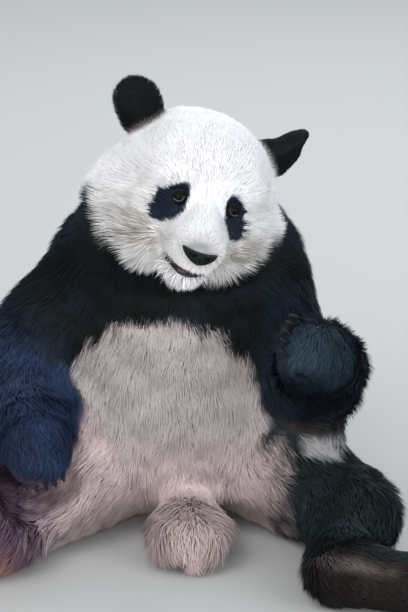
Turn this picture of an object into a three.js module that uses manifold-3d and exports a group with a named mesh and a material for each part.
// A life-size giant panda, sitting upright on the floor with its hind legs spread.
// Millimetres, +Z up. The panda faces -Y and its left side is +X. The origin is on the floor under its rump.
// Every solid is the outer surface of the coat. The head and the body are each a smooth union of simple
// masses, turned into one closed surface, and the named pieces are then parted from it with thin cuts.
import * as THREE from 'three';
import { MarchingCubes } from 'three/addons/objects/MarchingCubes.js';
import { mergeVertices } from 'three/addons/utils/BufferGeometryUtils.js';
import Module from 'manifold-3d';

const wasm = await Module();
wasm.setup();

// ---- Driving dimensions -------------------------------------------------------------------------

const SEAM = 0.6; // width of the cut between two pieces
const FAR = 1500; // half-size of the blocks that stand for half-spaces

const v = (x, y, z) => new THREE.Vector3(x, y, z);
const degrees = THREE.MathUtils.degToRad;
const turned = (x, y, z) => new THREE.Euler(degrees(x), degrees(y), degrees(z), 'ZXY');

// The head turns to the panda's left, lifts its nose a little and tips towards its left shoulder.
const HEAD_CENTRE = v(16, -140, 590);
const HEAD_TURN = turned(-6, 18, 10);

// Places on the head are in its own frame: x to the panda's left, y backwards, z up.
const SIDES = { right: -1, left: 1 };
const EYE = { place: v(47, -127.5, 16), radius: 12.5 };
const EYE_DISH = { place: v(48, -156, 16), radii: v(24, 24, 20), rim: 14 };
const NOSE = { place: v(0, -200, -58), radii: v(31, 16, 15), lowerRadii: v(14, 11, 13), drop: 11 };
const TONGUE = { place: v(0, -132, -95), radii: v(24, 32, 6) };
const CHIN = { place: v(0, -130, -108), radii: v(38, 42, 27) };
const JAW = { top: v(0, -118, -92), middle: v(0, -118, -120), cutSlope: 0.16 };

// The joints of each limb, from the root to the tip, and the radius of the coat round each of them.
// The last stretch is the paw, and palm is the way its palm or sole faces.
const LIMBS = {
  foreleg_right: {
    paw: 'forepaw_right',
    joints: [v(-140, 5, 392), v(-300, -75, 236), v(-258, -236, 200), v(-242, -298, 184)],
    radii: [96, 102, 78, 61],
    palm: v(0.2, -0.2, -1),
  },
  foreleg_left: {
    paw: 'forepaw_left',
    joints: [v(112, 0, 388), v(230, -195, 262), v(238, -346, 356), v(212, -402, 416)],
    radii: [94, 70, 68, 54],
    palm: v(-0.9, 0.4, 0),
  },
  hindleg_right: {
    paw: 'hindfoot_right',
    joints: [v(-120, -110, 120), v(-318, -355, 80), v(-490, -450, 62), v(-560, -520, 84)],
    radii: [122, 86, 64, 56],
    palm: v(0.6, -0.8, 0),
  },
  hindleg_left: {
    paw: 'hindfoot_left',
    joints: [v(125, -110, 120), v(292, -300, 74), v(262, -486, 54), v(394, -540, 52)],
    radii: [116, 82, 56, 52],
    palm: v(-0.38, -0.92, 0),
  },
};
const CLAW = { count: 5, length: 32, radius: 6, spacing: 16, sunk: 0.6, toPalm: 0.3, hook: 0.55 };

// How far a cutter stands off the surface of what it parts.
const MARGIN = { head: 18, paw: 12, lowerLeg: 20, upperLeg: 26, tail: 10 };

// The fineness of the balls, and the side of the cells that the body's surface is made of.
const DETAIL = { head: 8, ear: 3, paw: 3, eye: 1, nose: 2, tongue: 1, cut: 2 };
const BODY_GRID = { centre: v(-60, -100, 300), cell: 45, size: 64 };

// ---- Masses and their union ---------------------------------------------------------------------

// A mass is a function of a point: about the distance to its surface, less than zero inside.

// An ellipsoid of the given radii, turned by an Euler angle, in the frame of a parent matrix.
function ellipsoid(centre, radii, turn = turned(0, 0, 0), parent = new THREE.Matrix4()) {
  const placed = new THREE.Matrix4().compose(centre, new THREE.Quaternion().setFromEuler(turn), v(1, 1, 1));
  const toLocal = placed.premultiply(parent).invert();
  const q = new THREE.Vector3();
  return (p) => {
    q.copy(p).applyMatrix4(toLocal).divide(radii);
    const inner = q.length();
    const slope = q.divide(radii).length();
    return slope > 0 ? (inner * (inner - 1)) / slope : -Math.min(radii.x, radii.y, radii.z);
  };
}

// A capsule from a to b whose radius runs evenly from the first radius to the second.
function taper(a, radiusA, b, radiusB, parent = new THREE.Matrix4()) {
  const start = a.clone().applyMatrix4(parent);
  const axis = b.clone().applyMatrix4(parent).sub(start);
  const lengthSq = axis.lengthSq();
  const q = new THREE.Vector3();
  return (p) => {
    q.copy(p).sub(start);
    const t = THREE.MathUtils.clamp(q.dot(axis) / lengthSq, 0, 1);
    return q.addScaledVector(axis, -t).length() - THREE.MathUtils.lerp(radiusA, radiusB, t);
  };
}

// The union of several masses, with a fillet of about the given size where two of them meet.
function blend(masses, fillet) {
  return (p) =>
    masses.reduce((least, mass) => {
      const d = mass(p);
      const share = Math.max(fillet - Math.abs(least - d), 0) / fillet;
      return Math.min(least, d) - (share * share * fillet) / 4;
    }, FAR);
}

// A region with another one hollowed out of it, with a rounded rim.
function hollow(region, hole, rim) {
  const outside = blend([(p) => -region(p), hole], rim);
  return (p) => -outside(p);
}

const grown = (region, distance) => (p) => region(p) - distance;

// ---- From a region to a solid -------------------------------------------------------------------

function solidOf(geometry) {
  const bare = geometry.clone();
  for (const name of ['normal', 'uv']) bare.deleteAttribute(name);
  const merged = mergeVertices(bare, 1e-3);
  return new wasm.Manifold(
    new wasm.Mesh({
      numProp: 3,
      vertProperties: merged.getAttribute('position').array,
      triVerts: new Uint32Array(merged.index.array),
    }),
  );
}

function geometryOf(solid) {
  const mesh = solid.getMesh();
  const geometry = new THREE.BufferGeometry();
  geometry.setAttribute('position', new THREE.BufferAttribute(mesh.vertProperties, 3));
  geometry.setIndex(new THREE.BufferAttribute(mesh.triVerts, 1));
  return geometry;
}

// The whole surface of a region, from a grid of cubic cells. A grid size that is a power of two keeps the
// places of shared corners exact. No corner of the grid counts as nearer to the surface than LEAST of a
// cell, so that no triangle is a sliver.
function surfaceOf(region, { centre, cell, size }) {
  const LEAST = 0.08;
  const MOST_TRIANGLES = 20000;
  const cubes = new MarchingCubes(size, undefined, false, false, MOST_TRIANGLES);
  cubes.isolation = 0;
  const half = size / 2;
  const p = new THREE.Vector3();
  for (let z = 0; z < size; z += 1) {
    for (let y = 0; y < size; y += 1) {
      for (let x = 0; x < size; x += 1) {
        p.set(x - half, y - half, z - half).multiplyScalar(cell).add(centre);
        const depth = -region(p);
        const kept = Math.max(Math.abs(depth), LEAST * cell);
        cubes.setCell(x, y, z, depth < 0 ? -kept : kept);
      }
    }
  }
  cubes.update();
  const places = cubes.positionArray.slice(0, cubes.count * 3);
  const geometry = new THREE.BufferGeometry();
  geometry.setAttribute('position', new THREE.BufferAttribute(places, 3));
  geometry.scale(half * cell, half * cell, half * cell);
  geometry.translate(centre.x, centre.y, centre.z);
  return solidOf(geometry);
}

// How far the region reaches from the centre in one direction.
function reachOf(region, centre, direction) {
  const STEP = 5;
  const HALVINGS = 12;
  const p = new THREE.Vector3();
  const at = (r) => region(p.copy(centre).addScaledVector(direction, r));
  let far = STEP;
  while (at(far) < 0) far += STEP;
  let near = far - STEP;
  for (let i = 0; i < HALVINGS; i += 1) {
    const middle = (near + far) / 2;
    if (at(middle) < 0) near = middle;
    else far = middle;
  }
  return near;
}

// A ball round the centre, moved out to the region's surface. The more detail, the finer the ball.
function ballTo(region, centre, detail) {
  const sphere = new THREE.IcosahedronGeometry(1, detail);
  for (const name of ['normal', 'uv']) sphere.deleteAttribute(name);
  const ball = mergeVertices(sphere, 1e-5);
  const position = ball.getAttribute('position');
  const direction = new THREE.Vector3();
  for (let i = 0; i < position.count; i += 1) {
    direction.fromBufferAttribute(position, i).normalize();
    direction.multiplyScalar(reachOf(region, centre, direction)).add(centre);
    position.setXYZ(i, direction.x, direction.y, direction.z);
  }
  return solidOf(ball);
}

// The half-space beyond a point, on the side that the normal points to, grown by a distance.
function beyond(point, normal, grow = 0) {
  const block = new THREE.BoxGeometry(2 * FAR, 2 * FAR, 2 * FAR);
  const unit = normal.clone().normalize();
  block.applyQuaternion(new THREE.Quaternion().setFromUnitVectors(v(0, 0, 1), unit));
  const centre = point.clone().addScaledVector(unit, FAR - grow);
  block.translate(centre.x, centre.y, centre.z);
  return solidOf(block);
}

// A cone frustum from a to b, that runs on past them by the given lengths. Its flats hold the radii.
function frustum(a, radiusA, pastA, b, radiusB, pastB, flats) {
  const over = 1 / Math.cos(Math.PI / flats);
  const along = b.clone().sub(a);
  const length = along.length() + pastA + pastB;
  const geometry = new THREE.CylinderGeometry(radiusB * over, radiusA * over, length, flats, 1);
  geometry.translate(0, (pastB - pastA) / 2, 0);
  geometry.applyQuaternion(new THREE.Quaternion().setFromUnitVectors(v(0, 1, 0), along.normalize()));
  const middle = a.clone().lerp(b, 0.5);
  geometry.translate(middle.x, middle.y, middle.z);
  return solidOf(geometry);
}

// The biggest body of a solid, without crumbs that a cut may leave.
function biggest(solid) {
  return solid.decompose().reduce((best, body) => (body.volume() > best.volume() ? body : best));
}

// ---- Head ---------------------------------------------------------------------------------------

const headFrame = new THREE.Matrix4().compose(
  HEAD_CENTRE,
  new THREE.Quaternion().setFromEuler(HEAD_TURN),
  v(1, 1, 1),
);
const inHead = (place) => place.clone().applyMatrix4(headFrame);
const headMass = (centre, radii, turn) => ellipsoid(centre, radii, turn, headFrame);
const sided = (place, side) => v(side * place.x, place.y, place.z);

// Skull, brow, cheek ruffs, muzzle and chin, with a shallow dish round each eye.
function headRegion() {
  const both = Object.values(SIDES);
  const cheeks = both.flatMap((side) => [
    headMass(sided(v(82, 6, -40), side), v(88, 92, 94)),
    headMass(sided(v(54, -58, -68), side), v(72, 68, 62)),
    headMass(sided(v(50, -84, 44), side), v(44, 44, 32)),
  ]);
  const muzzle = [
    taper(v(0, -95, -34), 66, v(0, -150, -54), 50, headFrame),
    taper(v(0, -105, 12), 42, v(0, -166, -38), 30, headFrame),
  ];
  const skull = [headMass(v(0, 18, 26), v(138, 138, 124)), headMass(v(0, -48, 62), v(98, 84, 80))];
  const full = blend([blend([...skull, ...cheeks, ...muzzle], 34), headMass(CHIN.place, CHIN.radii)], 14);
  const { place, radii, rim } = EYE_DISH;
  return both.reduce((region, side) => hollow(region, headMass(sided(place, side), radii), rim), full);
}

const headSurface = headRegion();
const HEAD_MIDDLE = inHead(v(0, -30, -10));
const wholeHead = ballTo(headSurface, HEAD_MIDDLE, DETAIL.head);

// The right ear stands up with its cup forwards. The left one is turned out and back.
const EARS = {
  right: {
    middle: inHead(v(-130, 10, 120)),
    masses: [
      headMass(v(-132, 8, 132), v(45, 24, 50), turned(0, -38, 0)),
      headMass(v(-114, 10, 104), v(34, 28, 34)),
    ],
  },
  left: {
    middle: inHead(v(134, 18, 112)),
    masses: [
      headMass(v(141, 20, 127), v(50, 42, 15), turned(0, -48, 0)),
      taper(v(112, 14, 100), 32, v(138, 18, 116), 20, headFrame),
      taper(v(136, 18, 82), 17, v(154, 18, 116), 15, headFrame),
    ],
  },
};

function ear(side) {
  const { middle, masses } = EARS[side];
  const clearOfHead = ballTo(grown(headSurface, 2 * SEAM), HEAD_MIDDLE, DETAIL.head);
  return ballTo(blend(masses, 17), middle, DETAIL.ear).subtract(clearOfHead);
}

function eyeball(side, grow) {
  const centre = inHead(sided(EYE.place, SIDES[side]));
  const radius = EYE.radius + grow;
  return ballTo(ellipsoid(centre, v(radius, radius, radius)), centre, DETAIL.eye);
}

function nosePad(grow) {
  const { place, radii, lowerRadii, drop } = NOSE;
  const lower = headMass(v(place.x, place.y + 2, place.z - drop), lowerRadii);
  return ballTo(grown(blend([headMass(place, radii), lower], 8), grow), inHead(place), DETAIL.nose);
}

function tongue(grow) {
  const region = grown(headMass(TONGUE.place, TONGUE.radii, turned(-6, 0, 0)), grow);
  return ballTo(region, inHead(TONGUE.place), DETAIL.tongue);
}

// The space of the jaw: as wide as the muzzle, from under the mouth back between the cheeks.
function jawSpace(grow) {
  const chin = headMass(v(0, -132, -122), v(50, 56, 38));
  const throat = headMass(v(0, -100, -120), v(52, 40, 36));
  const down = v(0, JAW.cutSlope, -1).transformDirection(headFrame);
  const space = ballTo(grown(blend([chin, throat], 20), grow), inHead(JAW.middle), DETAIL.cut);
  return space.intersect(beyond(inHead(JAW.top), down, grow));
}

// ---- Body ---------------------------------------------------------------------------------------

const limbs = Object.entries(LIMBS).map(([name, { joints, radii, ...others }]) => {
  const bones = [0, 1, 2].map((i) => taper(joints[i], radii[i], joints[i + 1], radii[i + 1]));
  const root = taper(joints[0], radii[0], joints[0].clone().lerp(joints[1], 0.5), (radii[0] + radii[1]) / 2);
  return { name, joints, radii, root, whole: blend(bones, 40), ...others };
});

const neckMass = taper(v(0, 40, 440), 160, v(0, -92, 560), 150);
const tailMass = blend(
  [ellipsoid(v(14, -332, 54), v(88, 90, 56)), taper(v(0, -160, 80), 64, v(10, -290, 60), 56)],
  30,
);
const trunkMasses = [
  ellipsoid(v(0, 45, 150), v(268, 215, 166)), // rump
  ellipsoid(v(0, -80, 238), v(216, 188, 192)), // belly
  ellipsoid(v(0, 38, 318), v(224, 208, 200)), // back
  ellipsoid(v(0, 30, 425), v(198, 170, 148)), // chest and shoulders
];
const torso = blend([...trunkMasses, neckMass, ...limbs.map((limb) => limb.root)], 70);
const body = blend([torso, ...limbs.map((limb) => limb.whole), tailMass], 14);

const aboveFloor = beyond(v(0, 0, 0), v(0, 0, 1));

// A sleeve round one stretch of a limb, with a margin to the limb's own surface. It runs on past the
// stretch's ends by shares of the radii there.
function sleeve({ joints, radii }, i, margin, grow, [pastA, pastB]) {
  const FLATS = 8;
  const [radiusA, radiusB] = [radii[i], radii[i + 1]];
  const more = margin + grow;
  const [endA, endB] = [pastA * radiusA + grow, pastB * radiusB + grow];
  return frustum(joints[i], radiusA + more, endA, joints[i + 1], radiusB + more, endB, FLATS);
}

// The space of a paw, from the plane of the wrist or ankle on.
function pawSpace(limb, grow) {
  const { joints } = limb;
  const bend = joints[3].clone().sub(joints[1]);
  return sleeve(limb, 2, MARGIN.paw, grow, [0.8, 1.5]).intersect(beyond(joints[2], bend, grow));
}

// The space of the rest of a limb: from the shoulder or hip to the wrist or ankle.
function legSpace(limb, grow) {
  const upper = sleeve(limb, 0, MARGIN.upperLeg, grow, [0, 0.4]);
  return sleeve(limb, 1, MARGIN.lowerLeg, grow, [0.9, 1]).add(upper);
}

// A row of claws across the tip of a paw, on the side of its palm and hooked towards it.
function claws({ joints, radii, palm }) {
  const tip = joints[3];
  const along = tip.clone().sub(joints[2]).normalize();
  const inward = palm.clone().addScaledVector(along, -palm.dot(along)).normalize();
  const across = along.clone().cross(inward);
  const out = along.clone().addScaledVector(inward, CLAW.hook).normalize();
  const middle = (CLAW.count - 1) / 2;
  return Array.from({ length: CLAW.count }, (_, i) => {
    const reach = radii[3] * (CLAW.sunk - 0.05 * (i - middle) ** 2);
    const root = tip
      .clone()
      .addScaledVector(along, reach)
      .addScaledVector(inward, radii[3] * CLAW.toPalm)
      .addScaledVector(across, (i - middle) * CLAW.spacing);
    return frustum(root, CLAW.radius, 0, root.clone().addScaledVector(out, CLAW.length), 0.8, 0, 4);
  }).reduce((all, claw) => all.add(claw));
}

// A paw is a ball of its own, finer than the rest of the body.
function paw(limb) {
  const middle = limb.joints[2].clone().lerp(limb.joints[3], 0.4);
  const fine = ballTo(limb.whole, middle, DETAIL.paw);
  return fine.intersect(aboveFloor).intersect(pawSpace(limb, 0)).add(claws(limb));
}

// The end of the tail, from where it comes out between the hind legs.
function tailSpace(grow) {
  const space = ballTo(grown(tailMass, MARGIN.tail + grow), v(12, -300, 56), DETAIL.cut);
  return space.intersect(beyond(v(0, -256, 60), v(0, -1, -0.25), grow));
}

const headSpace = (grow) => ballTo(grown(headSurface, MARGIN.head + grow), HEAD_MIDDLE, DETAIL.cut);
const neckSpace = (grow) => beyond(v(0, -40, 470), v(0, -0.55, 1), grow);

// ---- The panda ----------------------------------------------------------------------------------

const finish = (color, roughness) => new THREE.MeshStandardMaterial({ color, roughness, metalness: 0 });
const FINISHES = {
  white: finish(0xe9e4dc, 0.85),
  belly: finish(0xb7a79a, 0.9),
  black: finish(0x15151a, 0.8),
  nose: finish(0x101012, 0.35),
  eye: finish(0x1a120c, 0.08),
  tongue: finish(0xb9727a, 0.5),
};

const panda = new THREE.Group();
let rest = surfaceOf(body, BODY_GRID).intersect(aboveFloor).add(wholeHead);

function add(name, solid, material) {
  const mesh = new THREE.Mesh(geometryOf(biggest(solid)), material);
  mesh.name = name;
  panda.add(mesh);
}

// Adds a piece of its own shape, and leaves room for it in the rest of the body.
function inlay(name, shape, material) {
  add(name, shape(0), material);
  rest = rest.subtract(shape(SEAM));
}

// Parts the piece in a space from the rest of the body.
function part(name, space, material) {
  add(name, rest.intersect(space(0)), material);
  rest = rest.subtract(space(SEAM));
}

for (const side of Object.keys(SIDES)) {
  add(`ear_${side}`, ear(side), FINISHES.black);
  inlay(`eye_${side}`, (grow) => eyeball(side, grow), FINISHES.eye);
}
inlay('nose', nosePad, FINISHES.nose);
inlay('tongue', tongue, FINISHES.tongue);
part('lower_jaw', jawSpace, FINISHES.white);
part('head', headSpace, FINISHES.white);

for (const limb of limbs) {
  add(limb.paw, paw(limb), FINISHES.black);
  rest = rest.subtract(pawSpace(limb, SEAM));
}
for (const limb of limbs) part(limb.name, (grow) => legSpace(limb, grow), FINISHES.black);

part('tail', tailSpace, FINISHES.white);
part('neck', neckSpace, FINISHES.white);
add('trunk', rest, FINISHES.belly);

export default panda;
